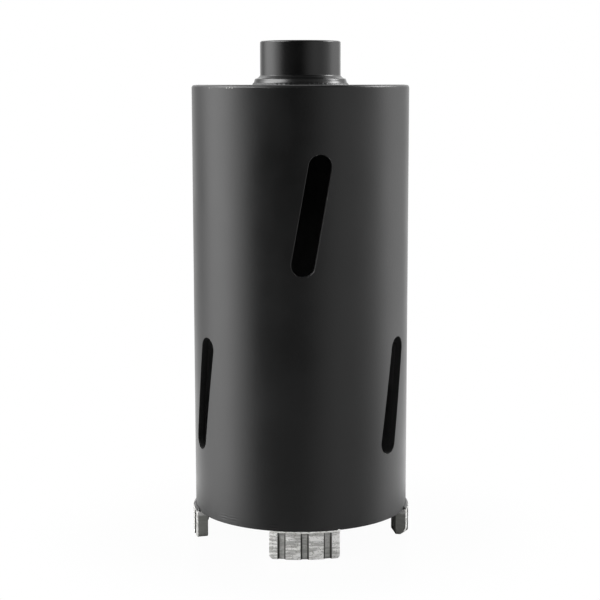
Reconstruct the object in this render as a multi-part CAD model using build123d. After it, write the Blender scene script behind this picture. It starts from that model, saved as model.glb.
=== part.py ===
from build123d import *
import os
from math import asin, cos, degrees, hypot, radians, sin

os.makedirs("parts", exist_ok=True)

# Dry diamond core bit, in millimetres.
# Z is the drilling axis. z = 0 is the plane of the segment tips, on which the bit can stand,
# and -Y is the front. Angles about Z are counted from the front, towards +X.

# Barrel: a seamless steel tube, open at the cutting end.
BARREL_DIAMETER = 76.1
BARREL_WALL = 2.4
BARREL_LENGTH = 150.0
TOP_EDGE_BREAK = 1.0
TOP_EDGE_CREST = 0.3  # where the two bevels that break the top edge meet

# Slots: two rows that let dust out, slanted with the turn of the drill.
SLOT_LENGTH = 41.0
SLOT_WIDTH = 8.0
SLOT_TILT = 10.0
SLOTS_PER_ROW = 3
LOWER_ROW_HEIGHT = 43.4  # slot centres, above the barrel's open rim
LOWER_ROW_START = 55.6
UPPER_ROW_HEIGHT = 107.0
UPPER_ROW_START = 3.8
SLOT_EDGE_BREAK = 0.3

# Segments: sintered diamond blocks on the rim.
SEGMENT_NAMES = ("segment_front", "segment_right", "segment_back", "segment_left")
SEAM_NAMES = ("braze_front", "braze_right", "braze_back", "braze_left")
KERF_DIAMETER = 78.0
SEGMENT_THICKNESS = 4.0
SEGMENT_CHORD = 24.2
SEGMENT_REACH = 9.8  # from the barrel's rim down to the tips
SEGMENT_CORNER_RADIUS = 1.5
GROOVE_COUNT = 3
GROOVE_SPACING = 7.9
GROOVE_MOUTH = 2.8
GROOVE_FLOOR = 2.0
GROOVE_DEPTH = 0.8
GROOVE_START = 0.75  # below the rim

# Silver solder between each segment and the rim, with a fillet on both ledges.
BRAZE_LAYER = 0.15
BRAZE_FILLET_HEIGHT = 0.7
BRAZE_LEDGE_MARGIN = 0.1  # bare ledge left outside the fillets
BRAZE_END_MARGIN = 0.5  # degrees that the solder stops short of the segment's ends

# End plate and its butt weld to the tube.
PLATE_THICKNESS = 5.0
PLATE_WELD_DEPTH = 1.2

# Hub: turned steel with a female G 1/2 thread, bored through to the plate's underside.
HUB_DIAMETER = 28.0
HUB_STAND = 15.1  # above the plate
HUB_TOP_BREAK = 0.35
SPIGOT_DIAMETER = 24.0
SHOULDER_HEIGHT = 2.1
FLANGE_RADIUS = 16.5
NECK_RADIUS = 1.8  # hollow, from the wall to the shoulder
THREAD_MINOR_DIAMETER = 18.631
THREAD_MAJOR_DIAMETER = 20.955
FLANGE_WELD_LEG = 0.9
FLANGE_WELD_HEIGHT = 0.8

FULL_TURN = 360.0
TOLERANCE = 0.001

barrel_radius = BARREL_DIAMETER / 2
bore_radius = barrel_radius - BARREL_WALL
kerf_radius = KERF_DIAMETER / 2
segment_inner_radius = kerf_radius - SEGMENT_THICKNESS
segment_half_angle = degrees(asin(SEGMENT_CHORD / 2 / kerf_radius))
rim_z = SEGMENT_REACH
segment_top_z = rim_z - BRAZE_LAYER
top_z = rim_z + BARREL_LENGTH
plate_bottom_z = top_z - PLATE_THICKNESS
hub_top_z = top_z + HUB_STAND
hub_radius = HUB_DIAMETER / 2
thread_radius = THREAD_MINOR_DIAMETER / 2
thread_mouth_radius = THREAD_MAJOR_DIAMETER / 2
shoulder_radius = hub_radius + NECK_RADIUS


def turned(section):
    """A full turn about Z of a section drawn in the XZ plane."""
    return revolve(section, Axis.Z, FULL_TURN)


def slot_cutter(angle, height):
    """A stadium prism that goes radially out through the tube's wall."""
    outward = (sin(radians(angle)), -cos(radians(angle)), 0)
    along_wall = (cos(radians(angle)), sin(radians(angle)), 0)
    face = Plane(origin=(0, 0, rim_z + height), x_dir=along_wall, z_dir=outward)
    outline = face * SlotOverall(SLOT_LENGTH, SLOT_WIDTH, rotation=90 - SLOT_TILT)
    return extrude(outline, amount=kerf_radius)


def slot_cutters():
    rows = ((LOWER_ROW_START, LOWER_ROW_HEIGHT), (UPPER_ROW_START, UPPER_ROW_HEIGHT))
    pitch = FULL_TURN / SLOTS_PER_ROW
    return [slot_cutter(start + n * pitch, height) for start, height in rows for n in range(SLOTS_PER_ROW)]


def is_outer_slot_edge(edge):
    """True for an edge that lies wholly on the tube's outside, away from its two ends."""
    points = [edge @ where for where in (0, 0.5, 1)]
    outside = all(abs(hypot(p.X, p.Y) - barrel_radius) < TOLERANCE for p in points)
    return outside and all(rim_z + SLOT_WIDTH < p.Z < top_z - SLOT_WIDTH for p in points)


def make_barrel():
    """The slotted tube, bevelled inside its top edge for the plate's weld."""
    outline = Polyline(
        (bore_radius, rim_z),
        (barrel_radius, rim_z),
        (barrel_radius, top_z - TOP_EDGE_BREAK),
        (barrel_radius - TOP_EDGE_CREST, top_z - TOP_EDGE_CREST),
        (barrel_radius - TOP_EDGE_BREAK, top_z),
        (bore_radius + PLATE_WELD_DEPTH, top_z),
        (bore_radius, top_z - PLATE_WELD_DEPTH),
        close=True,
    )
    tube = turned(Plane.XZ * make_face(outline)) - slot_cutters()
    return chamfer(tube.edges().filter_by(is_outer_slot_edge), SLOT_EDGE_BREAK)


def make_end_plate():
    """The disc that closes the tube, with a hole for the hub's spigot."""
    edge_radius = bore_radius - PLATE_WELD_DEPTH
    hole_radius = SPIGOT_DIAMETER / 2
    outline = Polyline(
        (hole_radius, plate_bottom_z),
        (bore_radius, plate_bottom_z),
        (bore_radius, top_z - PLATE_WELD_DEPTH),
        (edge_radius, top_z),
        (hole_radius, top_z),
        close=True,
    )
    return turned(Plane.XZ * make_face(outline))


def make_plate_weld():
    """The weld that fills the groove between tube and plate, dressed flush."""
    outline = Polyline(
        (bore_radius, top_z - PLATE_WELD_DEPTH),
        (bore_radius + PLATE_WELD_DEPTH, top_z),
        (bore_radius - PLATE_WELD_DEPTH, top_z),
        close=True,
    )
    return turned(Plane.XZ * make_face(outline))


def make_hub():
    """The threaded hub: a plain wall, a hollow neck, a crisp shoulder and a flared flange."""
    mouth = thread_mouth_radius - thread_radius
    shoulder_z = top_z + SHOULDER_HEIGHT
    bore_side = Polyline(
        (SPIGOT_DIAMETER / 2, top_z),
        (SPIGOT_DIAMETER / 2, plate_bottom_z),
        (thread_mouth_radius, plate_bottom_z),
        (thread_radius, plate_bottom_z + mouth),
        (thread_radius, hub_top_z - mouth),
        (thread_mouth_radius, hub_top_z),
        (hub_radius - HUB_TOP_BREAK, hub_top_z),
        (hub_radius, hub_top_z - HUB_TOP_BREAK),
        (hub_radius, shoulder_z + NECK_RADIUS),
    )
    neck = RadiusArc(bore_side @ 1, (shoulder_radius, shoulder_z), -NECK_RADIUS)
    flange = Polyline(neck @ 1, (FLANGE_RADIUS, top_z), bore_side @ 0)
    return turned(Plane.XZ * make_face([bore_side, neck, flange]))


def make_hub_weld():
    """The fillet weld round the flange's foot."""
    flank_run = FLANGE_RADIUS - shoulder_radius
    outline = Polyline(
        (FLANGE_RADIUS, top_z),
        (FLANGE_RADIUS + FLANGE_WELD_LEG, top_z),
        (FLANGE_RADIUS - flank_run * FLANGE_WELD_HEIGHT / SHOULDER_HEIGHT, top_z + FLANGE_WELD_HEIGHT),
        close=True,
    )
    return turned(Plane.XZ * make_face(outline))


def groove_cutter(offset):
    """A vertical gullet with drafted walls, open at the segment's tip."""
    bearing = degrees(asin(offset / kerf_radius))
    half_floor = GROOVE_FLOOR / 2
    half_outside = GROOVE_MOUTH - half_floor  # the drafted walls, carried on as far again outside
    outline = Polyline(
        (-half_floor, GROOVE_DEPTH - kerf_radius),
        (half_floor, GROOVE_DEPTH - kerf_radius),
        (half_outside, -GROOVE_DEPTH - kerf_radius),
        (-half_outside, -GROOVE_DEPTH - kerf_radius),
        close=True,
    )
    start = Pos(0, 0, rim_z - GROOVE_START)
    return Rot(Z=bearing) * extrude(start * make_face(outline), amount=-2 * SEGMENT_REACH)


def make_segment(angle):
    """One curved block with gullets down its outer face and rounded leading corners."""
    outline = sector_outline(segment_inner_radius, kerf_radius, segment_half_angle)
    block = extrude(outline, amount=segment_top_z)
    tip_corners = block.faces().sort_by(Axis.Z)[0].edges().filter_by(GeomType.LINE)
    block = fillet(tip_corners, SEGMENT_CORNER_RADIUS)
    first = -(GROOVE_COUNT - 1) / 2
    grooves = [groove_cutter((first + n) * GROOVE_SPACING) for n in range(GROOVE_COUNT)]
    return Rot(Z=angle) * (block - grooves)


def sector_outline(inner, outer, half_angle):
    """A piece of a ring, centred on the front."""
    start, size = -90 - half_angle, 2 * half_angle
    outer_arc = CenterArc((0, 0), outer, start, size)
    inner_arc = CenterArc((0, 0), inner, start, size)
    ends = [Line(inner_arc @ end, outer_arc @ end) for end in (0, 1)]
    return make_face([outer_arc, inner_arc, *ends])


def make_braze(angle):
    """The solder of one joint: a thin layer under the rim and a fillet on each ledge."""
    fillet_z = rim_z + BRAZE_FILLET_HEIGHT
    outline = Polyline(
        (segment_inner_radius + BRAZE_LEDGE_MARGIN, segment_top_z),
        (kerf_radius - BRAZE_LEDGE_MARGIN, segment_top_z),
        (barrel_radius, fillet_z),
        (barrel_radius, rim_z),
        (bore_radius, rim_z),
        (bore_radius, fillet_z),
        close=True,
    )
    half_angle = segment_half_angle - BRAZE_END_MARGIN
    seam = revolve(Plane.XZ * make_face(outline), Axis.Z, 2 * half_angle)
    return Rot(Z=angle - 90 - half_angle) * seam


def build():
    parts = {
        "barrel": make_barrel(),
        "end_plate": make_end_plate(),
        "plate_weld": make_plate_weld(),
        "hub": make_hub(),
        "hub_weld": make_hub_weld(),
    }
    for number, (segment, seam) in enumerate(zip(SEGMENT_NAMES, SEAM_NAMES)):
        angle = number * FULL_TURN / len(SEGMENT_NAMES)
        parts[segment] = make_segment(angle)
        parts[seam] = make_braze(angle)
    return parts


for name, shape in build().items():
    export_step(shape, f"parts/{name}.step")
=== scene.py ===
from math import asin, cos, hypot, pi, radians, sin, sqrt

import bmesh
import bpy
from mathutils import Matrix, Vector, noise
from mathutils.geometry import delaunay_2d_cdt


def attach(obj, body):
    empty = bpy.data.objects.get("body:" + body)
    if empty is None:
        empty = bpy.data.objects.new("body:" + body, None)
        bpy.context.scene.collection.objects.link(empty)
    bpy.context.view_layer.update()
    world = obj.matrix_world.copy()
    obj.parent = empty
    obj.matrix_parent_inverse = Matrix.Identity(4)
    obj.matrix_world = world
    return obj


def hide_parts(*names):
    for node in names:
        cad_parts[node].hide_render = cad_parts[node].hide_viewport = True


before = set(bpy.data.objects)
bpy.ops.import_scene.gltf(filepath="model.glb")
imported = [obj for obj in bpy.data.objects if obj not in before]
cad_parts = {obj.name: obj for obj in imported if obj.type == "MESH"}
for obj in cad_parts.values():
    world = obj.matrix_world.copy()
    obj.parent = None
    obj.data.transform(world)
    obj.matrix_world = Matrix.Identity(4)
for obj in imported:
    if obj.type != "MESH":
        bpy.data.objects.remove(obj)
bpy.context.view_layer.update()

# Lengths are in millimetres until a mesh is written, and angles round the bit are counted from
# its front (-Y) towards +X.
MM = 0.001
FULL_TURN = 2 * pi

BARREL_RADIUS = 38.05
BORE_RADIUS = 35.65
WALL = BARREL_RADIUS - BORE_RADIUS
RIM_Z = 9.5  # the paint's lower edge, a little below the steel's
RIM_ROUND = 0.18
RIM_INNER_ROUND = 0.12
TOP_Z = 159.8
TOP_ROUND = 1.0
PLATE_BOTTOM_Z = 154.8
WELD_GROOVE = 1.2

SLOT_HALF_RUN = 16.5
SLOT_RADIUS = 4.0
SLOT_LEAN = radians(80.0)
SLOT_ALONG, SLOT_UP = cos(SLOT_LEAN), sin(SLOT_LEAN)
SLOT_ROUND = 0.12
SLOT_INNER_BREAK = 0.1
SLOT_ROWS = ((53.2, (55.6, 175.6, -64.4)), (116.8, (3.8, 123.8, -116.2)))  # height and bearings
SLOTS = [(radians(bearing), height) for height, bearings in SLOT_ROWS for bearing in bearings]

HUB_RADIUS = 14.0
HUB_TOP_Z = 174.9
HUB_COAT = 0.1  # paint on the turned outside
SHOULDER_Z = TOP_Z + 2.1
NECK_RADIUS = 2.35
NECK_START, NECK_END = radians(28.0), radians(82.0)  # slopes at the hollow neck's ends
NECK_Z = SHOULDER_Z + NECK_RADIUS * (sin(NECK_END) - sin(NECK_START))
FLANGE_RADIUS = 16.5
SPIGOT_RADIUS = 12.0
THREAD_MINOR = 9.3155
THREAD_MAJOR = 10.4775
THREAD_PITCH = 1.814

KERF_RADIUS = 39.0
SEGMENT_INNER_RADIUS = 35.0
THICKNESS = KERF_RADIUS - SEGMENT_INNER_RADIUS
SEGMENT_HALF_ANGLE = asin(12.1 / KERF_RADIUS)
HALF_ARC = SEGMENT_HALF_ANGLE * KERF_RADIUS
SEGMENT_TOP_Z = 9.35
SEGMENT_ROUND = 0.14
GULLETS = [asin(offset / KERF_RADIUS) for offset in (-7.9, 0.0, 7.9)]
GULLET_HALF_MOUTH = 1.4
GULLET_HALF_FLOOR = 1.0
GULLET_DEPTH = 0.8
GULLET_TOP_Z = SEGMENT_TOP_Z - 0.15


def show(name, data):
    """Puts a mesh or a camera in the scene, at the origin."""
    thing = bpy.data.objects.new(name, data)
    bpy.context.scene.collection.objects.link(thing)
    return thing


# --- camera

CAMERA_BEARING = radians(-1.85)
CAMERA_DISTANCE, CAMERA_HEIGHT = 0.5314, 0.15989
CAMERA_PITCH = radians(90 - 8.1634)
CAMERA_YAW, CAMERA_ROLL = radians(0.0263), radians(-0.0797)
SENSOR_WIDTH, FOCAL_LENGTH = 36.0, 90.10


def set_camera():
    """Stands a little to one side of the front and looks 8 degrees down."""
    lens = bpy.data.cameras.new("camera")
    lens.sensor_width, lens.lens = SENSOR_WIDTH, FOCAL_LENGTH
    lens.clip_start, lens.clip_end = 0.01, 50.0
    across, back = sin(CAMERA_BEARING), cos(CAMERA_BEARING)
    place = Matrix.Translation((CAMERA_DISTANCE * across, -CAMERA_DISTANCE * back, CAMERA_HEIGHT))
    turn = Matrix.Rotation(CAMERA_BEARING + CAMERA_YAW, 4, "Z") @ Matrix.Rotation(CAMERA_PITCH, 4, "X")
    camera = show("camera", lens)
    camera.matrix_world = place @ turn @ Matrix.Rotation(CAMERA_ROLL, 4, "Z")
    bpy.context.scene.camera = camera


set_camera()


# --- nodes

class Wiring:
    """Adds nodes to one tree. A value is a number, a vector, a colour or a socket of another node."""

    def __init__(self, base):
        self.base = base

    def link(self, value, socket):
        if isinstance(value, bpy.types.NodeSocket):
            self.base.links.new(value, socket)
        elif socket.type == "RGBA" and len(value) == 3:
            socket.default_value = (*value, 1.0)
        else:
            socket.default_value = value

    def add(self, kind, inputs=(), **settings):
        """Adds a node, a shader node unless its kind says otherwise, and returns its outputs."""
        node = self.base.nodes.new(kind if "Node" in kind else "ShaderNode" + kind)
        for key, value in settings.items():
            setattr(node, key, value)
        for key, value in dict(inputs).items():
            self.link(value, node.inputs[key])
        return node.outputs

    def maths(self, operation, *values, clamp=False):
        return self.add("Math", enumerate(values), operation=operation, use_clamp=clamp)[0]

    def plus(self, *values):
        return self.maths("ADD", *values)

    def minus(self, *values):
        return self.maths("SUBTRACT", *values)

    def times(self, value, *factors):
        for factor in factors:
            value = self.maths("MULTIPLY", value, factor)
        return value

    def times_plus(self, *values):
        return self.maths("MULTIPLY_ADD", *values)

    def over(self, *values):
        return self.maths("DIVIDE", *values)

    def vector(self, operation, *values):
        return self.add("VectorMath", enumerate(values), operation=operation)[0]

    def scaled(self, vector, by):
        return self.add("VectorMath", {0: vector, "Scale": by}, operation="SCALE")[0]

    def parts(self, vector):
        return self.add("SeparateXYZ", {0: vector})

    def joined(self, *parts):
        return self.add("CombineXYZ", enumerate(parts))[0]

    def between(self, value, low, high, new_low=0.0, new_high=1.0):
        """Maps a range smoothly onto another."""
        return self.add("MapRange", enumerate((value, low, high, new_low, new_high)),
                        interpolation_type="SMOOTHSTEP")[0]

    def noise(self, vector, scale, detail=2.0, rough=0.5):
        return self.add("TexNoise", {
            "Vector": vector, "Scale": scale, "Detail": detail, "Roughness": rough})[0]

    def mix(self, kind, share, first, second):
        """Blends two numbers, vectors or colours."""
        start, result = {"FLOAT": (2, 0), "VECTOR": (4, 1), "RGBA": (6, 2)}[kind]
        return self.add("Mix", {0: share, start: first, start + 1: second}, data_type=kind)[result]

    def blend(self, share, first, second):
        return self.mix("RGBA", share, first, second)

    def choose(self, share, first, second):
        """Mixes two shaders."""
        return self.add("MixShader", {0: share, 1: first, 2: second})[0]


SOCKET_KINDS = {float: "Float", int: "Int", bool: "Bool", tuple: "Vector"}


def labelled(values):
    """Turns keywords into the names of sockets."""
    return {key.replace("_", " "): value for key, value in values.items()}


def start_group(kind, name, inputs, outputs=("Geometry",)):
    """A Shader group's first input is a Vector, a Geometry group's a Geometry. An input without a value
    is named after its kind."""
    tree = bpy.data.node_groups.new(name, kind + "NodeTree")
    first = "Vector" if kind == "Shader" else kind
    for label, value in {first: None, **inputs}.items():
        socket_kind = label if value is None else SOCKET_KINDS[type(value)]
        socket = tree.interface.new_socket(label, in_out="INPUT", socket_type="NodeSocket" + socket_kind)
        if value is not None:
            socket.default_value = value
    result_kind = "NodeSocketGeometry" if kind == "Geometry" else "NodeSocketFloat"
    for label in outputs:
        tree.interface.new_socket(label, in_out="OUTPUT", socket_type=result_kind)
    ends = tree.nodes.new("NodeGroupInput").outputs, tree.nodes.new("NodeGroupOutput").inputs
    return Wiring(tree), *ends


def orange_peel_group():
    """Sprayed paint: a fine pebble, a slow swell and a few specks of dirt."""
    tree, given, out = start_group("Shader", "orange_peel", {
        "Pebble Size": 0.0007, "Swell": 0.3, "Specks": 0.5}, ("Height", "Mottle"))
    place = given["Vector"]
    pebble = tree.noise(place, tree.over(1.0, given["Pebble Size"]), 1.5)
    swell = tree.noise(place, 140.0, 1.0)
    cells = tree.add("TexVoronoi", {"Vector": place, "Scale": 260.0})["Distance"]
    rare = tree.maths("GREATER_THAN", tree.noise(place, 60.0, 0.0), 0.6)
    speck = tree.times(tree.between(cells, 0.03, 0.07, 1.0, 0.0), rare, given["Specks"])
    tree.link(tree.plus(tree.times_plus(swell, given["Swell"], pebble), speck), out["Height"])
    tree.link(tree.noise(place, 38.0, 4.0, 0.6), out["Mottle"])
    return tree.base


def edge_wear_group():
    """Where a coat has rubbed or chipped off along an edge."""
    tree, given, out = start_group("Shader", "edge_wear", {
        "Edge": 0.0, "Amount": 0.5, "Chip Size": 0.0006}, ("Bare",))
    place = given["Vector"]
    chips = tree.noise(place, tree.over(1.0, given["Chip Size"]), 3.0, 0.65)
    patches = tree.noise(place, 95.0)
    limit = tree.minus(1.0, tree.times(given["Edge"], given["Amount"], patches))
    tree.link(tree.between(tree.minus(chips, limit), -0.02, 0.03), out["Bare"])
    return tree.base


def dust_group():
    """Dust on what faces up, and a thin film of it elsewhere."""
    tree, given, out = start_group("Shader", "settled_dust", {"Amount": 0.3}, ("Dust",))
    place = given["Vector"]
    facing = tree.parts(tree.add("NewGeometry")["Normal"])
    up = tree.between(facing[2], 0.2, 1.0, 0.03, 1.0)
    grains = tree.between(tree.noise(place, 1800.0, 3.0, 0.7), 0.5, 0.72)
    drifts = tree.between(tree.noise(place, 55.0, 3.0), 0.35, 0.75)
    cover = tree.times(up, grains, tree.plus(drifts, 0.2))
    tree.link(tree.maths("MULTIPLY", cover, given["Amount"], clamp=True), out["Dust"])
    return tree.base


def smeared_metal_group():
    """Sintered metal dragged along by a grinding wheel: torn streaks and dark pores."""
    tree, given, out = start_group("Shader", "smeared_metal", {
        "Streak Length": 0.004, "Pore Size": 0.0004}, ("Streaks", "Pores", "Height"))
    place = given["Vector"]
    wander = tree.add("TexNoise", {"Vector": place, "Scale": 300.0})["Color"]
    bent = tree.mix("VECTOR", 0.0008, place, wander)
    along = tree.over(1.0, given["Streak Length"])
    squeeze = tree.joined(along, along, tree.over(7.0, given["Streak Length"]))
    streaks = tree.noise(tree.vector("MULTIPLY", bent, squeeze), 1.2, 3.5, 0.58)
    holes = tree.noise(place, tree.over(1.0, given["Pore Size"]), 2.0, 0.6)
    pores = tree.between(holes, 0.34, 0.44, 1.0, 0.0)
    height = tree.minus(streaks, tree.times(pores, 0.5))
    for label, value in (("Streaks", streaks), ("Pores", pores), ("Height", height)):
        tree.link(value, out[label])
    return tree.base


ORANGE_PEEL = orange_peel_group()
EDGE_WEAR = edge_wear_group()
SETTLED_DUST = dust_group()
SMEARED_METAL = smeared_metal_group()


# --- finishes

class Finish(Wiring):
    """A material with one Principled shader."""

    def __init__(self, name, **plain):
        self.material = bpy.data.materials.new(name)
        self.material.use_nodes = True
        super().__init__(self.material.node_tree)
        self.feed(**plain)
        self.place = self.add("TexCoord")["Object"]

    def feed(self, **values):
        for key, value in labelled(values).items():
            self.link(value, self.base.nodes["Principled BSDF"].inputs[key])

    def effect(self, group, **inputs):
        """Places a shared effect, with values of its own."""
        return self.add("Group", {"Vector": self.place, **labelled(inputs)}, node_tree=group)

    def mark(self, name):
        """The number that a piece carries at its vertices."""
        return self.add("Attribute", attribute_name=name)["Fac"]

    def mottle(self, grain, stains, colours, gloss):
        """Feeds colour and roughness from one noise, and returns that noise."""
        noise_here = self.noise(self.place, *grain)
        self.feed(Base_Color=self.blend(self.between(noise_here, *stains), *colours),
                  Roughness=self.between(noise_here, 0.3, 0.7, *gloss))
        return noise_here

    def bump(self, height, distance, strength):
        self.feed(Normal=self.add("Bump", {
            "Height": height, "Distance": distance, "Strength": strength})[0])


def satin_black_paint(name, wear=0.0, dust=0.25, rough=0.33):
    """Black stoving paint over steel, chipped to the metal along worn edges."""
    coat = Finish(name, IOR=1.5)
    skin = coat.effect(ORANGE_PEEL, Pebble_Size=0.0008, Swell=0.6, Specks=0.8)
    bare = coat.effect(EDGE_WEAR, Edge=coat.mark("edge"), Amount=wear, Chip_Size=0.0005)["Bare"]
    dusty = coat.effect(SETTLED_DUST, Amount=dust)["Dust"]
    deep_black, faded_black = (0.0032, 0.0033, 0.0034), (0.0048, 0.0049, 0.0050)
    grey_dust, bare_metal = (0.20, 0.195, 0.185), (0.50, 0.49, 0.47)
    black = coat.blend(coat.between(skin["Mottle"], 0.3, 0.7), deep_black, faded_black)
    gloss = coat.between(skin["Mottle"], 0.3, 0.7, rough - 0.03, rough + 0.03)
    coat.feed(Base_Color=coat.blend(bare, coat.blend(dusty, black, grey_dust), bare_metal), Metallic=bare,
              Roughness=coat.times_plus(dusty, 0.5, gloss))
    coat.bump(coat.minus(skin["Height"], coat.times(bare, 1.5)), 0.00004, 0.35)
    return coat.material


def cut_steel(name):
    """Bright steel cut by a tap, with fine rings and a trace of oil."""
    steel = Finish(name, Metallic=1.0)
    clean, oiled = (0.46, 0.45, 0.43), (0.30, 0.29, 0.27)
    steel.mottle((160.0, 3.0), (0.35, 0.7), (clean, oiled), (0.24, 0.42))
    rings = steel.add("Mapping", {"Vector": steel.place, "Scale": (90.0, 90.0, 9000.0)})[0]
    steel.bump(steel.noise(rings, 1.0, 3.0, 0.6), 0.00002, 0.5)
    return steel.material


def sintered_segment_metal(name):
    """Bronze-grey sintered bond: rough torn lands, a paler backing layer next to the rim. Faces marked -1
    (the inner face and the gullet walls) get painted shade: near-black and rougher.
    """
    bond = Finish(name, Metallic=0.55)
    land = bond.mark("land")
    worked = bond.maths("MAXIMUM", land, 0.0)
    torn = bond.effect(SMEARED_METAL, Streak_Length=0.006, Pore_Size=0.0005)
    streaks = torn["Streaks"]
    tone = bond.blend(bond.between(streaks, 0.38, 0.58), (0.52, 0.515, 0.50), (0.96, 0.955, 0.94))
    tone = bond.blend(bond.times(torn["Pores"], 0.5), tone, (0.16, 0.155, 0.145))
    plain = bond.blend(bond.between(streaks, 0.3, 0.7), (0.29, 0.292, 0.275), (0.36, 0.36, 0.34))
    # painted shade: faces marked -1 (inner face, gullet walls) go near-black and rougher in place of their
    # shadow
    painted_shade = bond.maths("MULTIPLY", land, -0.85, clamp=True)
    colour = bond.blend(painted_shade, bond.blend(worked, plain, tone), (0.035, 0.034, 0.030))
    ragged = bond.times_plus(bond.noise(bond.place, 700.0), 0.0009, bond.parts(bond.place)[2])
    backing = bond.times(bond.between(ragged, 0.0080, 0.0088), bond.between(land, 0.02, 0.15, 0.85, 0.0),
                         bond.minus(1.0, painted_shade))
    rough = bond.times_plus(land, 0.10, bond.between(streaks, 0.3, 0.7, 0.42, 0.52))
    bond.feed(Base_Color=bond.blend(backing, colour, (0.82, 0.815, 0.80)),
              Roughness=bond.times_plus(painted_shade, 0.55, rough))
    bond.bump(bond.times(torn["Height"], bond.times_plus(worked, 0.85, 0.15)), 0.00012, 0.8)
    return bond.material


def silver_solder(name):
    """Silver solder with flux stains."""
    solder = Finish(name, Metallic=0.15)
    bright, stained = (0.96, 0.96, 0.94), (0.42, 0.41, 0.38)
    stains = solder.mottle((900.0, 4.0, 0.65), (0.44, 0.68), (bright, stained), (0.26, 0.50))
    solder.bump(stains, 0.00025, 0.8)
    return solder.material


def diamond_grit(name):
    """Dull yellow-grey synthetic diamond, part buried in the bond."""
    grit = Finish(name, IOR=2.42)
    dark, pale = (0.12, 0.115, 0.085), (0.36, 0.35, 0.28)
    grit.bump(grit.mottle((2600.0, 1.0), (0.35, 0.65), (dark, pale), (0.25, 0.45)), 0.00002, 0.4)
    return grit.material


PAINT = satin_black_paint("satin_black_paint", wear=0.9, dust=0.10)
INSIDE_PAINT = satin_black_paint("thin_paint_inside", dust=0.0, rough=0.7)
HUB_PAINT = satin_black_paint("paint_over_turned_hub", wear=0.9, dust=0.05, rough=0.25)
WELD_PAINT = satin_black_paint("paint_over_weld", dust=0.15, rough=0.26)
BARE_STEEL = cut_steel("cut_steel")
BOND = sintered_segment_metal("sintered_bond")
SOLDER = silver_solder("silver_solder")
GRIT = diamond_grit("diamond_grit")


# --- meshes

def around(radius, angle, z):
    return (radius * sin(angle), -radius * cos(angle), z)


def close_mesh(mesh, join=1e-7):
    """Merges doubles, drops faces without area and turns the rest outwards."""
    worked = bmesh.new()
    worked.from_mesh(mesh)
    bmesh.ops.remove_doubles(worked, verts=worked.verts, dist=join)
    bmesh.ops.dissolve_degenerate(worked, edges=worked.edges, dist=join)
    if worked.calc_volume(signed=True) < 0:
        bmesh.ops.reverse_faces(worked, faces=worked.faces)
    worked.to_mesh(mesh)
    worked.free()


class Skin:
    """The points and faces of one closed surface, with a number at each point."""

    def __init__(self):
        self.points, self.marks, self.faces, self.finishes = [], [], [], []

    def add(self, point, mark):
        self.points.append(point)
        self.marks.append(mark)
        return len(self.points) - 1

    def ring(self, points, mark=0.0):
        return [self.add(point, mark) for point in points]

    def face(self, corners, finish=0):
        self.faces.append(corners)
        self.finishes.append(finish)

    def strip(self, first, second, closed=True, finish=0):
        """Quads between two rows of the same length, the second to the left of the first."""
        count = len(first)
        for n in range(count if closed else count - 1):
            m = (n + 1) % count
            self.face((first[n], first[m], second[m], second[n]), finish)

    def stack(self, rows, **options):
        """Quads between each row and the next."""
        for first, second in zip(rows, rows[1:]):
            self.strip(first, second, **options)

    def build(self, name, materials, mark_name=None, join=1e-7):
        mesh = bpy.data.meshes.new(name)
        mesh.from_pydata([[c * MM for c in point] for point in self.points], [], self.faces)
        for material in materials:
            mesh.materials.append(material)
        mesh.polygons.foreach_set("material_index", self.finishes)
        mesh.polygons.foreach_set("use_smooth", [True] * len(self.faces))
        if mark_name:
            mesh.attributes.new(mark_name, "FLOAT", "POINT").data.foreach_set("value", self.marks)
        close_mesh(mesh, join)
        return show(name, mesh)


def place_piece(piece, slot, *nodes):
    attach(piece, "root")
    if nodes:
        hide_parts(*nodes)


# --- barrel

COLUMNS = 270
SEAM_ANGLE = radians(-150.0)
STEP = FULL_TURN / COLUMNS
SLOT_BENDS, SLOT_SIDES = 20, 24  # steps along each round end and each straight side
SLOT_CLEARANCE = 0.95  # between the slot's edge and the wall's plain grid
WINDOW_MARGIN = 2.0
WIDEST_ROW, FINE_BAND, ROW_GROWTH = 1.6, 4.0, 0.22  # rows widen beyond the band at each end
BARE_EDGE, WORN_EDGE, RUBBED_EDGE = 0.8, 0.55, 0.35  # marks: how easily the paint wears off
OUTSIDE, INSIDE = 0, 1  # places in the barrel's list of materials
RUNS = ((-46.0, 2.2, 2.2), (-39.5, 2.6, 1.8), (-16.0, 1.6, 1.6))  # paint runs: bearing, height, half width
RUN_HALF_HEIGHT = 1.6
SPRAYED_BEYOND = 36.9  # the radius within which the tube's ends stay true


def column_angle(n):
    return SEAM_ANGLE + n * STEP


def loop_edges(ring):
    return list(zip(ring, ring[1:] + ring[:1]))


def slot_ring(offset):
    """The slot's outline moved out by offset, in the plane that touches the wall at its centre."""
    radius, points = SLOT_RADIUS + offset, []
    for end in (1, -1):
        start = SLOT_LEAN - end * pi / 2
        steps = [(end, start + pi * n / SLOT_BENDS) for n in range(SLOT_BENDS)]
        steps += [(end * (1 - 2 * n / SLOT_SIDES), start + pi) for n in range(SLOT_SIDES)]
        points += [(SLOT_HALF_RUN * share * SLOT_ALONG + radius * cos(turn),
                    SLOT_HALF_RUN * share * SLOT_UP + radius * sin(turn)) for share, turn in steps]
    return points


def slot_distance(slot, angle, z, radius):
    """How far a point of the wall is outside the slot's outline."""
    bearing, height = slot
    if cos(angle - bearing) < 0:
        return 1e9
    u, v = radius * sin(angle - bearing), z - height
    run = max(-SLOT_HALF_RUN, min(SLOT_HALF_RUN, u * SLOT_ALONG + v * SLOT_UP))
    return hypot(u - run * SLOT_ALONG, v - run * SLOT_UP) - SLOT_RADIUS


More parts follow.
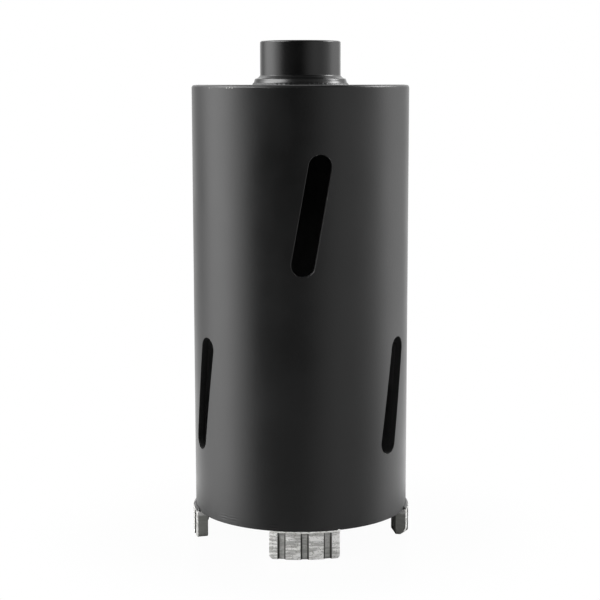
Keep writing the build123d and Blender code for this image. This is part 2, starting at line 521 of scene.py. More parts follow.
def slot_window(slot, radius, levels):
    """First and last column and row of the wall's grid that make way for a slot."""
    half_u = SLOT_HALF_RUN * SLOT_ALONG + SLOT_RADIUS + WINDOW_MARGIN
    half_v = SLOT_HALF_RUN * SLOT_UP + SLOT_RADIUS + WINDOW_MARGIN
    turn, reach = (slot[0] - SEAM_ANGLE) % FULL_TURN, asin(half_u / radius)
    low = max(n for n, z in enumerate(levels) if z < slot[1] - half_v)
    high = min(n for n, z in enumerate(levels) if z > slot[1] + half_v)
    return int((turn - reach) / STEP), int((turn + reach) / STEP) + 1, low, high


def wall_levels(bottom, top, finest):
    """Heights of the wall's rows: close together near both ends."""
    levels, z = [bottom], bottom
    while z < top - 1.2:
        z += min(WIDEST_ROW, finest + ROW_GROWTH * max(0.0, min(z - bottom, top - z) - FINE_BAND))
        levels.append(z)
    levels[-1] = min(levels[-1], top - 0.5)
    return levels + [top]


def dent(angle, z):
    """How far the sprayed outside departs from a cylinder: runs at the foot, a rough top edge."""
    at = Vector(around(38.0, angle, z))
    foot, head = max(0.0, 1.0 - (z - RIM_Z) / 2.5), max(0.0, 1.0 - (TOP_Z - z) / 1.6)
    value = 0.035 * foot * noise.noise(at * 0.9)
    value += 0.050 * head * noise.noise(at * 1.5)
    for bearing, height, half_width in RUNS:
        aside, above = abs(angle - radians(bearing)) * BARREL_RADIUS, z - RIM_Z
        fade = max(0.0, 1.0 - aside / half_width) * max(0.0, 1.0 - abs(above - height) / RUN_HALF_HEIGHT)
        value += 0.06 * min(1.0, 1.6 * fade) * sin(above * 6.4 + 0.9 * aside)
    return value


def wall_surface(skin, radius, levels, ring_offset, mark, outside):
    """One face of the wall, its slots left open. Returns its foot row, head row and slot rings."""
    grid, rings, hidden = {}, [], set()

    def corner(row, column):
        key = row, column % COLUMNS
        if key not in grid:
            angle, z = column_angle(key[1]), levels[row]
            swell = dent(angle, z) if outside else 0.0
            grid[key] = skin.add(around(radius + swell, angle, z), mark(z))
        return grid[key]

    def face(corners):
        skin.face(corners if outside else corners[::-1], OUTSIDE if outside else INSIDE)

    for slot in SLOTS:
        first, last, low, high = slot_window(slot, radius, levels)
        bearing, height = slot
        flat, index = [], []
        for row in range(low, high + 1):
            for column in range(first, last + 1):
                angle = column_angle(column)
                inner = low < row < high and first < column < last
                if inner and slot_distance(slot, angle, levels[row], radius) < ring_offset + SLOT_CLEARANCE:
                    continue
                flat.append(Vector((radius * ((angle - bearing + pi) % FULL_TURN - pi), levels[row])))
                index.append(corner(row, column))
        border = [(row, first) for row in range(low, high)] + [(high, n) for n in range(first, last)]
        border += [(row, last) for row in range(high, low, -1)] + [(low, n) for n in range(last, first, -1)]
        edges = loop_edges([index.index(corner(*place)) for place in border])
        for extra in (0.5, 0.05, 0.0):
            outline = slot_ring(ring_offset + extra)
            for u, v in outline:
                turned = asin(u / radius)
                flat.append(Vector((radius * turned, height + v)))
                point = around(radius, bearing + turned, height + v)
                index.append(skin.add(point, 0.05 if extra else RUBBED_EDGE))
        ring = list(range(len(flat) - len(outline), len(flat)))
        edges += loop_edges(ring)
        rings.append([index[n] for n in ring])
        found, _, faces, origin, _, _ = delaunay_2d_cdt(flat, edges, [], 0, 1e-6)
        for corners in faces:
            middle = sum((found[c] for c in corners), Vector((0.0, 0.0))) / len(corners)
            beyond = slot_distance(slot, bearing + middle[0] / radius, middle[1], radius) - ring_offset
            if beyond >= -0.01:
                face([index[origin[c][0]] for c in corners])
        hidden |= {(row, column % COLUMNS) for row in range(low, high) for column in range(first, last)}
    for row in range(len(levels) - 1):
        for column in range(COLUMNS):
            if (row, column) not in hidden:
                face((corner(row, column), corner(row, column + 1),
                      corner(row + 1, column + 1), corner(row + 1, column)))
    foot, head = ([corner(row, n) for n in range(COLUMNS)] for row in (0, len(levels) - 1))
    return foot, head, rings


def rounding(size, steps):
    """How far each row of a rounded edge lies in from its two faces."""
    turns = [pi / 2 * n / steps for n in range(1, steps + 1)]
    return [(size * (1 - cos(turn)), size * (1 - sin(turn))) for turn in turns]


def slot_edge(skin, slot, ring_out, ring_in):
    """The slot's wall, from the rounded outside edge to the bore."""
    bearing, height = slot

    def row(offset, depth, mark):
        radius = BARREL_RADIUS - depth
        return skin.ring([around(radius, bearing + asin(u / radius), height + v)
                          for u, v in slot_ring(offset)], mark)

    edge = [row(offset, depth, 0.65 if offset else 0.3) for depth, offset in rounding(SLOT_ROUND, 4)]
    plain = [row(0.0, depth, 0.0) for depth in (0.9, 1.6, WALL - SLOT_INNER_BREAK)]
    skin.stack(([ring_out] + edge)[::-1], finish=OUTSIDE)
    skin.stack(([edge[-1]] + plain + [ring_in])[::-1], finish=INSIDE)


def make_barrel():
    skin = Skin()

    def outer_mark(z):
        return max(0.0, 0.5 - (z - RIM_Z) / 1.5, 0.72 - (TOP_Z - TOP_ROUND - z))

    def inner_mark(z):
        return max(0.0, 0.6 - (z - RIM_Z) / 1.5)

    def lathe_rows(profile, mark):
        angles = [column_angle(n) for n in range(COLUMNS)]
        return [skin.ring([around(r + (dent(angle, z) if r > SPRAYED_BEYOND else 0.0), angle, z)
                           for angle in angles], mark) for r, z in profile]

    levels = wall_levels(RIM_Z + RIM_ROUND, TOP_Z - TOP_ROUND, 0.22)
    foot_out, head_out, rings_out = wall_surface(skin, BARREL_RADIUS, levels, SLOT_ROUND, outer_mark, True)
    levels = wall_levels(RIM_Z + RIM_INNER_ROUND, TOP_Z - WELD_GROOVE, 0.5)
    foot_in, head_in, rings_in = wall_surface(skin, BORE_RADIUS, levels, SLOT_INNER_BREAK, inner_mark, False)

    rim = [(BARREL_RADIUS - inset, RIM_Z + rise) for inset, rise in rounding(RIM_ROUND, 4)]
    rows = [foot_out] + lathe_rows(rim, WORN_EDGE) + lathe_rows([(37.2, RIM_Z), (36.4, RIM_Z)], 0.4)
    rows += lathe_rows([(BORE_RADIUS + RIM_INNER_ROUND, RIM_Z),
                        (BORE_RADIUS + RIM_INNER_ROUND * 0.3, RIM_Z + RIM_INNER_ROUND * 0.3)], BARE_EDGE)
    skin.stack((rows + [foot_in])[::-1])

    head = [(BARREL_RADIUS - inset, TOP_Z - drop) for inset, drop in rounding(TOP_ROUND, 7)]
    rows = [head_out] + lathe_rows(head, WORN_EDGE) + lathe_rows([(BORE_RADIUS + WELD_GROOVE, TOP_Z)], 0.0)
    skin.stack(rows + [head_in])

    for slot, ring_out, ring_in in zip(SLOTS, rings_out, rings_in):
        slot_edge(skin, slot, ring_out, ring_in)
    place_piece(skin.build("barrel_tube", [PAINT, INSIDE_PAINT], "edge"), "black_paint", "barrel")


make_barrel()


# --- hub

HUB_COLUMNS = 144
ROWS_A_TURN = 14  # of the thread
HUB_BEVEL = ((0.40, 0.0, 0.3), (0.37, 0.02, 0.3), (0.06, 0.33, 0.3), (0.04, 0.37, 0.4), (0.01, 0.46, 0.4),
             (0.0, 0.50, 0.1))  # inset, drop and mark of the turned top edge
HUB_WALL_TOP_Z = HUB_TOP_Z - 0.56
FLANGE = ((15.81, 2.06, 0.6), (15.90, 1.80, 0.1), (16.08, 1.25, 0.0), (16.16, 1.0, 0.0), (16.32, 0.7, 0.0),
          (FLANGE_RADIUS, 0.3, 0.0), (FLANGE_RADIUS, 0.0, 0.0))  # radius, height over the plate and mark
COATED_BEYOND = HUB_RADIUS - 0.7
SHARPEST_SMOOTH = radians(48.0)


def thread_radius(angle, z):
    """Whitworth form: straight flanks with rounded crests and roots, right-handed."""
    phase = 2 * pi * ((z - PLATE_BOTTOM_Z) / THREAD_PITCH - angle / FULL_TURN)
    wave = asin(0.93 * sin(phase)) / asin(0.93)
    middle, half = (THREAD_MAJOR + THREAD_MINOR) / 2, (THREAD_MAJOR - THREAD_MINOR) / 2
    mouth = THREAD_MAJOR - min(z - PLATE_BOTTOM_Z, HUB_TOP_Z - z)
    return max(middle + half * wave, mouth)


def hub_profile():
    """Radius, height and mark of each row of the hub's outside, from its top to its foot."""
    rows = [(THREAD_MAJOR + 1.0, HUB_TOP_Z, 0.2), (12.6, HUB_TOP_Z, 0.2)]
    rows += [(HUB_RADIUS - inset, HUB_TOP_Z - drop, mark) for inset, drop, mark in HUB_BEVEL]
    rows += [(HUB_RADIUS, HUB_WALL_TOP_Z - (HUB_WALL_TOP_Z - NECK_Z) * n / 10, 0.0) for n in range(10)]
    rows += [(HUB_RADIUS, NECK_Z + 0.03, 0.0)]
    bends = [NECK_START + (NECK_END - NECK_START) * n / 8 for n in range(1, 9)]
    rows += [(HUB_RADIUS + NECK_RADIUS * (cos(NECK_START) - cos(slope)),
              NECK_Z - NECK_RADIUS * (sin(slope) - sin(NECK_START)), 0.0)
             for slope in (NECK_START, NECK_START + 0.01, *bends)]
    rows += [(radius, TOP_Z + height, mark) for radius, height, mark in FLANGE]
    return rows + [(SPIGOT_RADIUS, TOP_Z, 0.0), (SPIGOT_RADIUS, PLATE_BOTTOM_Z + 0.2, 0.3),
                   (SPIGOT_RADIUS - 0.2, PLATE_BOTTOM_Z, 0.5)]


def make_hub():
    skin = Skin()
    turns = (HUB_TOP_Z - PLATE_BOTTOM_Z) / THREAD_PITCH
    angles = [FULL_TURN * n / HUB_COLUMNS for n in range(HUB_COLUMNS + 1)]

    def thread_row(lead):
        """Climbs one pitch a turn, between the hub's two ends."""
        heights = [PLATE_BOTTOM_Z + THREAD_PITCH * (lead + angle / FULL_TURN) for angle in angles]
        heights = [max(PLATE_BOTTOM_Z, min(HUB_TOP_Z, z)) for z in heights]
        return skin.ring([around(thread_radius(angle, z), angle, z) for angle, z in zip(angles, heights)])

    bore = [thread_row(n / ROWS_A_TURN) for n in range(-ROWS_A_TURN, int(turns * ROWS_A_TURN) + 2)]
    skin.stack(bore[::-1], closed=False, finish=1)
    rows = [thread_row(turns + 1)]
    for radius, z, mark in hub_profile():
        coat = HUB_COAT if radius > COATED_BEYOND else 0.0
        rows.append(skin.ring([around(radius + coat, angle, z) for angle in angles], mark))
    skin.stack((rows + [thread_row(-2)])[::-1], closed=False)
    hub = skin.build("threaded_hub", [HUB_PAINT, BARE_STEEL], "edge", join=2e-7)
    place_piece(hub, "black_paint", "hub")
    hub.data.set_sharp_from_angle(angle=SHARPEST_SMOOTH)
    points = hub.data.vertices
    for edge in hub.data.edges:  # the wall meets the neck in a crisp line
        if all(abs(points[end].co.z - NECK_Z * MM) < 1e-6 for end in edge.vertices):
            edge.use_edge_sharp = True


make_hub()


# --- welds and solder

def bead_tree():
    """A bead round the axis, with a crown from toe to heel. It swells along its length, steps with each
    ripple, and runs out at its ends unless it is closed."""
    tree, given, out = start_group("Geometry", "filler_bead", {
        "Root": (0.0165, 0.0, 0.1598), "Toe": (0.0174, 0.0, 0.1598), "Heel": (0.0163, 0.0, 0.1606),
        "Crown": 0.0001, "Start": 0.0, "Sweep": FULL_TURN, "Closed": False,
        "Around": 360, "Ripples": 1.0, "Ripple Depth": 0.0, "Swell": 0.15, "Swell Size": 0.003,
        "Roughness": 0.00002, "Run Out": 0.04, "Seed": 1.0, "Material": None})
    across = 9  # points from toe to heel; one more row lies at the root
    position = tree.add("GeometryNodeInputPosition")[0]
    grid = tree.add("GeometryNodeMeshGrid", {
        "Size X": 1.0, "Size Y": 1.0, "Vertices X": given["Around"], "Vertices Y": across + 2})[0]
    spot = tree.parts(position)
    along = tree.plus(spot[0], 0.5)
    step = tree.maths("ROUND", tree.times(tree.plus(spot[1], 0.5), float(across + 1)))
    is_root = tree.maths("COMPARE", step, float(across), 0.1)
    face = tree.times(tree.over(step, float(across - 1)), tree.maths("LESS_THAN", step, across + 0.5))

    chord = tree.mix("VECTOR", face, given["Toe"], given["Heel"])
    middle = tree.mix("VECTOR", 0.5, given["Toe"], given["Heel"])
    away = tree.vector("NORMALIZE", tree.vector("SUBTRACT", middle, given["Root"]))
    arch = tree.times(face, tree.minus(1.0, face), 4.0)
    section = tree.vector("ADD", chord, tree.scaled(away, tree.times(arch, given["Crown"])))

    angle = tree.times_plus(along, given["Sweep"], given["Start"])
    sine, cosine = tree.maths("SINE", angle), tree.maths("COSINE", angle)
    reach = tree.parts(given["Root"])[0]
    round_place = tree.joined(tree.times(sine, reach), tree.times(cosine, reach), given["Seed"])
    waver = tree.minus(tree.noise(round_place, tree.over(1.0, given["Swell Size"])), 0.5)
    swell = tree.times(waver, tree.times(given["Swell"], 2.0))
    saw = tree.maths("FRACT", tree.plus(tree.times(along, given["Ripples"]), tree.times(arch, 0.45)))
    ripple = tree.times(tree.minus(saw, 1.0), given["Ripple Depth"])
    ends = tree.times(tree.maths("MINIMUM", along, tree.minus(1.0, along)), tree.over(1.0, given["Run Out"]))
    ends = tree.maths("MAXIMUM", tree.maths("SQRT", tree.maths("MINIMUM", ends, 1.0)), given["Closed"])
    size = tree.times(tree.plus(tree.plus(1.0, swell), ripple), ends, tree.minus(1.0, is_root))

    local = tree.scaled(tree.vector("SUBTRACT", section, given["Root"]), size)
    part = tree.parts(tree.vector("ADD", given["Root"], local))
    place = tree.joined(tree.times(sine, part[0]), tree.times(cosine, tree.times(part[0], -1.0)), part[2])
    laid = tree.add("GeometryNodeSetPosition", {"Geometry": grid, "Position": place})[0]
    merged = tree.add("GeometryNodeMergeByDistance", {"Geometry": laid, "Distance": 0.0000005})[0]
    grain = tree.minus(tree.noise(tree.vector("ADD", position, given["Seed"]), 2600.0, 3.0), 0.5)
    lift = tree.scaled(tree.add("GeometryNodeInputNormal")[0], tree.times(grain, given["Roughness"]))
    rough = tree.add("GeometryNodeSetPosition", {"Geometry": merged, "Offset": lift})[0]
    finish_geometry(tree, given, out, rough)
    return tree.base


def finish_geometry(tree, given, out, shape):
    real = tree.add("GeometryNodeRealizeInstances", {"Geometry": shape})[0]
    done = tree.add("GeometryNodeSetMaterial", {"Geometry": real, "Material": given["Material"]})[0]
    tree.link(done, out["Geometry"])


FILLER_BEAD = bead_tree()


def grown_mesh(name, tree, values, base=None):
    """Runs a geometry tree with these inputs and returns the plain mesh."""
    carrier = show("carrier", base or bpy.data.meshes.new("carrier"))
    modifier = carrier.modifiers.new("grow", "NODES")
    modifier.node_group = tree
    for item in tree.interface.items_tree:
        if item.in_out == "INPUT" and item.name in values:
            modifier[item.identifier] = values[item.name]
    bpy.context.view_layer.update()
    graph = bpy.context.evaluated_depsgraph_get()
    mesh = bpy.data.meshes.new_from_object(carrier.evaluated_get(graph), depsgraph=graph)
    mesh.name = name
    bpy.data.objects.remove(carrier)
    mesh.polygons.foreach_set("use_smooth", [True] * len(mesh.polygons))
    return mesh


def bead(name, root, toe, heel, crown, material, **values):
    """A bead whose root, toe and heel are given as radius and height."""
    section = {label: (radius * MM, 0.0, z * MM)
               for label, (radius, z) in (("Root", root), ("Toe", toe), ("Heel", heel))}
    mesh = grown_mesh(name, FILLER_BEAD, {
        **section, "Crown": crown * MM, "Material": material, **labelled(values)})
    close_mesh(mesh)
    return mesh


def make_welds():
    foot, top = TOP_Z + 0.02, TOP_Z - 0.02
    ring = bead("hub_weld_bead", (FLANGE_RADIUS - 0.35, foot), (FLANGE_RADIUS + 0.45, foot),
                (FLANGE_RADIUS - 0.02, TOP_Z + 0.72), 0.03, WELD_PAINT, Closed=True, Around=900,
                Ripples=64.0, Ripple_Depth=0.14, Swell=0.2, Roughness=0.00012, Seed=4.0)
    place_piece(show("hub_weld_bead", ring), "black_paint", "hub_weld")
    ring = bead("plate_weld_bead", (BORE_RADIUS, TOP_Z - WELD_GROOVE), (BORE_RADIUS + WELD_GROOVE, top),
                (BORE_RADIUS - WELD_GROOVE, top), 0.10, WELD_PAINT, Closed=True, Around=1400,
                Ripples=130.0, Ripple_Depth=0.02, Swell=0.02, Roughness=0.00004, Seed=9.0)
    place_piece(show("plate_weld_bead", ring), "black_paint", "plate_weld")


make_welds()

JOINT_HALF_ANGLE = SEGMENT_HALF_ANGLE - radians(0.5)  # the solder stops short of the ends
SPRAY_HALF_ANGLE = SEGMENT_HALF_ANGLE - radians(0.3)
FILM_STEPS = 24
LEDGE_MARGIN = 0.02
FRONT_DROPS = ((18.05, 9.55, 0.42), (16.9, 9.45, 0.3))  # bearing in degrees, height, radius


def solder_film(skin, angle):
    """The thin film between rim and segment."""
    inner, outer = BORE_RADIUS + LEDGE_MARGIN, BARREL_RADIUS - LEDGE_MARGIN
    corners = ((inner, SEGMENT_TOP_Z), (outer, SEGMENT_TOP_Z), (outer, RIM_Z), (inner, RIM_Z))
    rows = [skin.ring([around(radius, angle + JOINT_HALF_ANGLE * (2 * n / FILM_STEPS - 1), z)
                       for radius, z in corners]) for n in range(FILM_STEPS + 1)]
    skin.stack(rows)
    skin.face(rows[0][::-1])
    skin.face(rows[-1])


def make_solder(side, angle, heel, crown, drops=()):
    common = {"Start": angle - JOINT_HALF_ANGLE, "Sweep": 2 * JOINT_HALF_ANGLE, "Around": 260,
              "Run_Out": 0.02, "Roughness": 0.00006}
    outer = bead("outer_solder", (BARREL_RADIUS - 0.15, RIM_Z - 0.12),
                 (KERF_RADIUS - 0.10, SEGMENT_TOP_Z + 0.03), (BARREL_RADIUS + 0.02, RIM_Z + heel), crown,
                 SOLDER, Swell=0.35, Swell_Size=0.0016, Seed=10.0 + angle, **common)
    inner = bead("inner_solder", (BORE_RADIUS + 0.15, RIM_Z - 0.1),
                 (SEGMENT_INNER_RADIUS + 0.40, SEGMENT_TOP_Z + 0.01), (BORE_RADIUS + 0.02, RIM_Z + 0.06),
                 -0.02, SOLDER, Swell=0.3, Swell_Size=0.002, Seed=20.0 + angle, **common)
    skin = Skin()
    solder_film(skin, angle)
    seam = skin.build("solder_" + side, [SOLDER])
    worked = bmesh.new()
    for mesh in (seam.data, outer, inner):
        worked.from_mesh(mesh)
    for bearing, z, size in drops:
        place = Matrix.Translation(Vector(around(BARREL_RADIUS + 0.3, angle + radians(bearing), z)) * MM)
        bmesh.ops.create_icosphere(worked, subdivisions=3, radius=size * MM, matrix=place)
    worked.to_mesh(seam.data)
    worked.free()
    place_piece(seam, "solder", "braze_" + side)


def make_paint_over_solder(side, angle):
    """A skin of paint over the fillet and the block's top edge, where the spray reached."""
    name = "paint_over_solder_" + side
    mesh = bead(name, (BARREL_RADIUS - 0.3, RIM_Z - 0.3), (KERF_RADIUS - 0.08, SEGMENT_TOP_Z - 0.12),
                (BARREL_RADIUS + 0.06, RIM_Z + 0.9), 0.16, WELD_PAINT, Start=angle - SPRAY_HALF_ANGLE,
                Sweep=2 * SPRAY_HALF_ANGLE, Around=220, Swell=0.12, Swell_Size=0.004, Roughness=0.00003,
                Run_Out=0.03, Seed=30.0 + angle)
    place_piece(show(name, mesh), "black_paint")


for number, side in enumerate(("front", "right", "back", "left")):
    bearing = number * pi / 2
    if side == "front":
        make_solder(side, bearing, heel=0.03, crown=0.10, drops=FRONT_DROPS)
    else:
        make_solder(side, bearing, heel=0.4, crown=-0.05)
        make_paint_over_solder(side, bearing)


# --- segments

# INNER_FACE and GULLET_WALL carry -1, which the bond turns into painted shade (near-black)
LAND, PLAIN_FACE, INNER_FACE, GULLET_FLOOR, GULLET_WALL = 1.0, 0.0, -1.0, 0.4, -1.0  # marks of the faces
LAST_GULLET_EDGE = 9.35  # along the arc
GRID_STEP, DEPTH_STEP = 0.17, 0.25
ROUNDED_EDGE = (0.0, 0.06, SEGMENT_ROUND, 0.26)  # where rows lie next to an edge of the block
GULLET_EDGES = (0.82, 0.94, 1.0, 1.06, 1.34, 1.40, 1.44, 1.50)  # the same from a gullet's middle
FLATNESS = 0.6  # of the rounding towards the tips and the rim
WORN_SLOPE = 1.25
HUMP_MIDDLE, HUMP_RIGHT, HUMP_LEFT = -2.5, 5.0, 9.3  # along the arc


def spread(stops, step):
    """Numbers from the first stop to the last that hit every stop, no further apart than step."""
    values = []
    for low, high in zip(stops, stops[1:]):
        count = max(1, int((high - low) / step + 0.999))
        values += [low + (high - low) * n / count for n in range(count)]
    return values + [stops[-1]]


def segment_grid():
    """Where the block is divided: along its arc, through its thickness and up its height."""
    arc_stops = [-HALF_ARC + inset for inset in (*ROUNDED_EDGE, 0.5)]
    for bearing in GULLETS:
        middle = bearing * KERF_RADIUS
        arc_stops += [middle - side for side in GULLET_EDGES[::-1]] + [middle + side for side in GULLET_EDGES]
    arc_stops += [HALF_ARC - inset for inset in (0.5, *ROUNDED_EDGE[::-1])]
    deep_stops = [*ROUNDED_EDGE] + [THICKNESS - inset for inset in ROUNDED_EDGE[::-1]]
    tall_stops = [*ROUNDED_EDGE] + [GULLET_TOP_Z + step for step in (-0.05, 0.0, 0.02, 0.08)]
    tall_stops += [SEGMENT_TOP_Z - inset for inset in (0.12, 0.05, 0.0)]
    return spread(arc_stops, GRID_STEP), spread(deep_stops, DEPTH_STEP), spread(tall_stops, GRID_STEP)


def gullet(angle, z):
    """How deep the outer face is cut at this angle, and the mark it carries there."""
    if z <= GULLET_TOP_Z:
        for bearing in GULLETS:
            aside = abs(KERF_RADIUS * sin(angle - bearing))
            if aside < GULLET_HALF_MOUTH + 0.03:
                slope = (GULLET_HALF_MOUTH - aside) / (GULLET_HALF_MOUTH - GULLET_HALF_FLOOR)
                # the walls take the -1 mark, painted shade in the bond
                mark = GULLET_WALL if aside > GULLET_HALF_FLOOR - 0.1 else GULLET_FLOOR
                return GULLET_DEPTH * max(0.0, min(1.0, slope)), mark
    return 0.0, LAND


def round_edges(s, depth, z):
    """Moves a point next to an edge of the plain block onto the edge's rounding."""
    limits = ((s, -HALF_ARC, HALF_ARC, SEGMENT_ROUND),
              (depth, 0.0, THICKNESS, SEGMENT_ROUND), (z, 0.0, SEGMENT_TOP_Z, SEGMENT_ROUND * FLATNESS))
    inner = [min(max(value, low + radius), high - radius) for value, low, high, radius in limits]
    push = Vector((s - inner[0], depth - inner[1], (z - inner[2]) / FLATNESS))
    if push.length > 1e-9:
        push = push.normalized() * SEGMENT_ROUND
        push[2] *= FLATNESS
        s, depth, z = (value + move for value, move in zip(inner, push))
    return s, depth, z


def round_corner(s, z, radius):
    """Draws the ends in near the tips, where the block's leading corner is rounded."""
    if z >= radius:
        return s
    room = HALF_ARC - radius + sqrt(max(0.0, radius ** 2 - (radius - z) ** 2))
    limit = HALF_ARC - radius * 1.6
    if abs(s) <= limit:
        return s
    side = 1 if s > 0 else -1
    return side * (limit + (abs(s) - limit) * (room - limit) / (HALF_ARC - limit))


def segment_point(s, depth, z, seed, corners, hump, worn):
    """Moves a point of the plain block to the finished one: rounded edges, gullets, torn lands."""
    s, depth, z = round_edges(s, depth, z)
    s = round_corner(s, z, corners[s > 0])
    angle = s / KERF_RADIUS
    cut, mark = gullet(angle, z)

    lost = worn * max(0.0, 1.0 - (s + HALF_ARC) / 8.0)
    worn_height = WORN_SLOPE * lost
    across, up = depth - THICKNESS + lost, worn_height - z
    if lost > 0.05 and across > 0 and up > 0:
        shrink = min(1.0, 1.0 / hypot(across / lost, up / worn_height))
        depth, z = THICKNESS - lost + across * shrink, worn_height - up * shrink

    aside = abs(s - HUMP_MIDDLE) / (HUMP_RIGHT if s > HUMP_MIDDLE else HUMP_LEFT)
    bulge = hump * max(0.0, 1.0 - aside ** 1.4) * (1 - depth / THICKNESS) ** 2
    radius = KERF_RADIUS - (THICKNESS - depth) * 0.94 - bulge
    outer_share = max(0.0, (depth - (THICKNESS - SEGMENT_ROUND)) / SEGMENT_ROUND)
    radius -= cut * (depth / THICKNESS) ** 6 if outer_share == 0 else cut

    if outer_share > 0 and cut == 0.0:
        at = Vector(around(radius, angle, z))
        torn = noise.noise(Vector((at.x * 0.55, at.y * 0.9, at.z * 1.5)) + Vector((seed, 0.0, 0.0)))
        torn += 0.5 * noise.noise(Vector((at.x * 1.6, at.y * 1.6, at.z * 3.6)) + Vector((0.0, seed, 0.0)))
        radius += 0.045 * min(0.0, torn - 0.5) * outer_share
    return radius, angle, z, mark


def grit_tree():
    """Diamond crystals on the worn faces, each sunk part way into the bond."""
    tree, given, out = start_group("Geometry", "diamond_grit", {
        "Grains Per Area": 450000.0, "Smallest": 0.00012, "Largest": 0.00021,
        "Sunk": 0.00007, "Seed": 0, "Material": None})
    land = tree.add("GeometryNodeInputNamedAttribute", {"Name": "land"}, data_type="FLOAT")["Attribute"]
    worn = tree.add("FunctionNodeCompare", {0: land, 1: 0.9}, data_type="FLOAT", operation="GREATER_THAN")[0]
    points = tree.add("GeometryNodeDistributePointsOnFaces", {
        "Mesh": given["Geometry"], "Selection": worn, "Density": given["Grains Per Area"],
        "Seed": given["Seed"]})
    inward = tree.scaled(points["Normal"], tree.times(given["Sunk"], -1.0))
    sunk = tree.add("GeometryNodeSetPosition", {"Geometry": points["Points"], "Offset": inward})[0]
    crystal = tree.add("GeometryNodeMeshIcoSphere", {"Radius": 1.0, "Subdivisions": 1})[0]
    turn = tree.add("FunctionNodeRandomValue", {
        0: (0.0, 0.0, 0.0), 1: (6.28, 6.28, 6.28), "Seed": given["Seed"]}, data_type="FLOAT_VECTOR")[0]
    size = tree.add("FunctionNodeRandomValue", {
        2: given["Smallest"], 3: given["Largest"], "Seed": given["Seed"]}, data_type="FLOAT")[1]
    grains = tree.add("GeometryNodeInstanceOnPoints", {
        "Points": sunk, "Instance": crystal, "Rotation": turn, "Scale": size})[0]
    finish_geometry(tree, given, out, grains)
    return tree.base


GRIT_SCATTER = grit_tree()


def make_segment(side, turn, seed, corners, hump=0.0, worn=0.0, end_shade_mark=LAND):
    """corners are the roundings of the two leading corners; hump and worn shape the inner face; the last
    argument is the mark of the land beyond the last gullet, and one below LAND paints shade there.
    """
    arc, deep, tall = segment_grid()
    last_i, last_j, last_k = len(arc) - 1, len(deep) - 1, len(tall) - 1
    skin, known = Skin(), {}

    def corner(i, j, k):
        key = i, j, k
        if key not in known:
            radius, angle, z, mark = segment_point(arc[i], deep[j], tall[k], seed, corners, hump, worn)
            # beyond the last gullet the land takes the given end mark; one below LAND is painted shade
            if mark == LAND and arc[i] > LAST_GULLET_EDGE:
                mark = end_shade_mark
            # the inner face's rows take the -1 mark, painted shade in the bond
            if j < last_j:
                mark = INNER_FACE if j < 2 else PLAIN_FACE
            known[key] = skin.add(around(radius, angle + turn, z), mark)
        return known[key]

    def sheet(rows, columns, where, flip):
        for a in range(rows):
            for b in range(columns):
                quad = where(a, b), where(a, b + 1), where(a + 1, b + 1), where(a + 1, b)
                skin.face(quad[::-1] if flip else quad)

    sheet(last_k, last_i, lambda k, i: corner(i, last_j, k), False)
    sheet(last_k, last_i, lambda k, i: corner(i, 0, k), True)
    sheet(last_k, last_j, lambda k, j: corner(0, j, k), False)
    sheet(last_k, last_j, lambda k, j: corner(last_i, j, k), True)
    sheet(last_j, last_i, lambda j, i: corner(i, j, last_k), True)
    sheet(last_j, last_i, lambda j, i: corner(i, j, 0), False)
    piece = skin.build("diamond_segment_" + side, [BOND], "land")
    grains = grown_mesh("diamond_grit_" + side, GRIT_SCATTER, {"Seed": int(seed), "Material": GRIT},
                        piece.data.copy())
    piece.data.set_sharp_from_angle(angle=radians(50.0))
    place_piece(piece, "sintered_metal", "segment_" + side)
    place_piece(show("diamond_grit_" + side, grains), "sintered_metal")


make_segment("front", 0.0, 3.0, corners=(1.6, 1.1))
make_segment("right", pi / 2, 10.0, corners=(1.0, 1.4), hump=2.4, worn=3.3)
make_segment("back", pi, 17.0, corners=(1.3, 1.5), worn=0.8)
# the left block's end strip gets a lower mark: painted shade that dims its bright grazing reflection
make_segment("left", 1.5 * pi, 24.0, corners=(3.2, 1.2), end_shade_mark=0.4)


# --- CAD piece that stays

PLATE_PAINT = satin_black_paint("paint_over_turned_plate", dust=0.3, rough=0.42)
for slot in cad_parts["end_plate"].material_slots:
    slot.material = PLATE_PAINT


# --- studio

FLOOR_REACH, FLOOR_CORNERS = 0.11, 96
# Strength of the light at each bearing, in degrees
LOW_LIGHT = {
    -180: 1.2, -152: 0.95, -136: 0.5, -126: 0.6, -105: 3.1, -85: 3.8, -65: 1.75, -48: 0.03, 2: 0.0,
    20: 0.42, 38: 0.75, 60: 0.7, 82: 1.1, 100: 2.15, 118: 1.5, 140: 0.7, 160: 1.2, 180: 1.2}
HIGH_LIGHT = {
    -180: 1.5, -115: 2.0, -95: 11.0, -50: 11.0, -30: 0.3, 8: 0.3, 60: 0.5, 84: 2.0, 92: 14.0,
    112: 14.0, 124: 1.6, 180: 1.5}
GROUND_LIGHT = {
    -180: 1.7, -140: 1.6, -112: 1.6, -95: 2.2, -85: 2.5, -65: 1.45, -48: 0.42, 2: 0.42, 20: 0.6,
    38: 0.72, 60: 0.6, 82: 0.8, 100: 1.25, 118: 1.5, 140: 1.6, 180: 1.7}


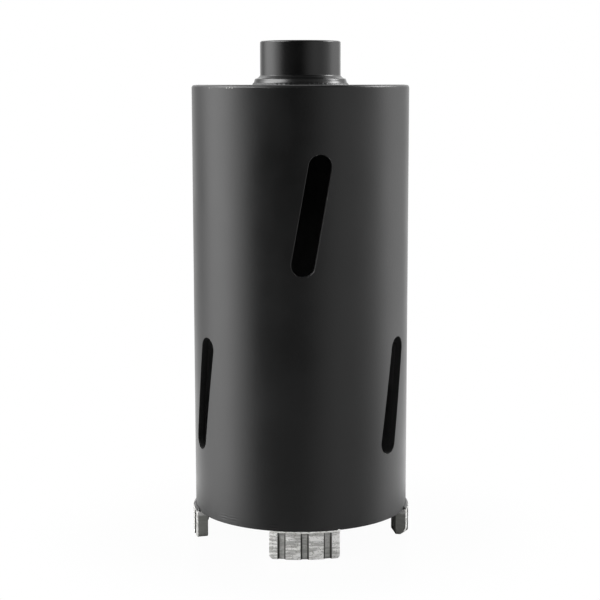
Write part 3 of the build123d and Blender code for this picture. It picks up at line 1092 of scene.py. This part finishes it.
def studio_floor():
    """Shadowed by the bit, but runs into the white to the eye; mirrored rays pass its outer part."""
    corners = [around(FLOOR_REACH, FULL_TURN * n / FLOOR_CORNERS, 0.0) for n in range(FLOOR_CORNERS)]
    mesh = bpy.data.meshes.new("studio_floor")
    mesh.from_pydata(corners, [], [range(FLOOR_CORNERS)])
    floor = Finish("white_floor", Base_Color=(0.4, 0.4, 0.4), Roughness=0.25, IOR=1.6)
    spot = floor.add("VectorMath", {0: floor.place}, operation="LENGTH")["Value"]
    paths = floor.add("LightPath")
    seen = floor.times(paths["Is Camera Ray"], floor.between(spot, 0.055, 0.105, 0.965, 1.0))
    mirrored = floor.times(paths["Is Glossy Ray"], floor.between(spot, 0.055, 0.09))
    white = floor.add("Emission", {"Color": (1.0, 1.0, 1.0), "Strength": 1.0})[0]
    open_air = floor.add("BsdfTransparent")[0]
    nodes = floor.base.nodes
    surface = floor.choose(mirrored, floor.choose(seen, nodes["Principled BSDF"].outputs[0], white), open_air)
    floor.link(surface, nodes["Material Output"].inputs["Surface"])
    mesh.materials.append(floor.material)
    show("studio_floor", mesh)


def light_ramp(tree, share, stops):
    peak = max(stops.values())
    ramp = tree.base.nodes.new("ShaderNodeValToRGB")
    elements = ramp.color_ramp.elements
    while len(elements) < len(stops):
        elements.new(0.5)
    for element, (degrees, level) in zip(elements, stops.items()):
        element.position = degrees / 360 + 0.5
        element.color = (level / peak,) * 3 + (1.0,)
    tree.link(share, ramp.inputs[0])
    return tree.times(tree.add("RGBToBW", {0: ramp.outputs[0]})[0], peak)


def studio_world():
    """White to the eye. What lights the bit is bright at its sides and dark on the camera's side."""
    world = bpy.data.worlds.new("studio")
    world.use_nodes = True
    world.node_tree.nodes.clear()
    tree = Wiring(world.node_tree)
    way = tree.parts(tree.add("TexCoord")["Generated"])
    bearing = tree.maths("ARCTAN2", way[0], tree.times(way[1], -1.0))
    at_left = tree.maths("LESS_THAN", bearing, 0.0)
    bearing = tree.plus(bearing, tree.times(tree.between(way[2], -0.06, -0.01, 0.0, 0.09), at_left))
    share = tree.times_plus(bearing, 1 / FULL_TURN, 0.5)
    low, high, ground = (light_ramp(tree, share, stops) for stops in (LOW_LIGHT, HIGH_LIGHT, GROUND_LIGHT))
    zenith = tree.between(way[1], -0.2, 0.5, 0.05, 0.8)
    level = ground
    for start, end, above in ((-0.275, -0.17, low), (0.34, 0.46, high), (0.60, 0.77, zenith)):
        level = tree.mix("FLOAT", tree.between(way[2], start, end), level, above)
    lit, white = (tree.add("Background", {"Color": (1.0, 1.0, 1.0), "Strength": strength})[0]
                  for strength in (level, 1.0))
    seen = tree.add("LightPath")["Is Camera Ray"]
    tree.add("OutputWorld", {"Surface": tree.choose(seen, lit, white)})
    bpy.context.scene.world = world


studio_floor()
studio_world()
bpy.context.scene.view_settings.view_transform = "Standard"
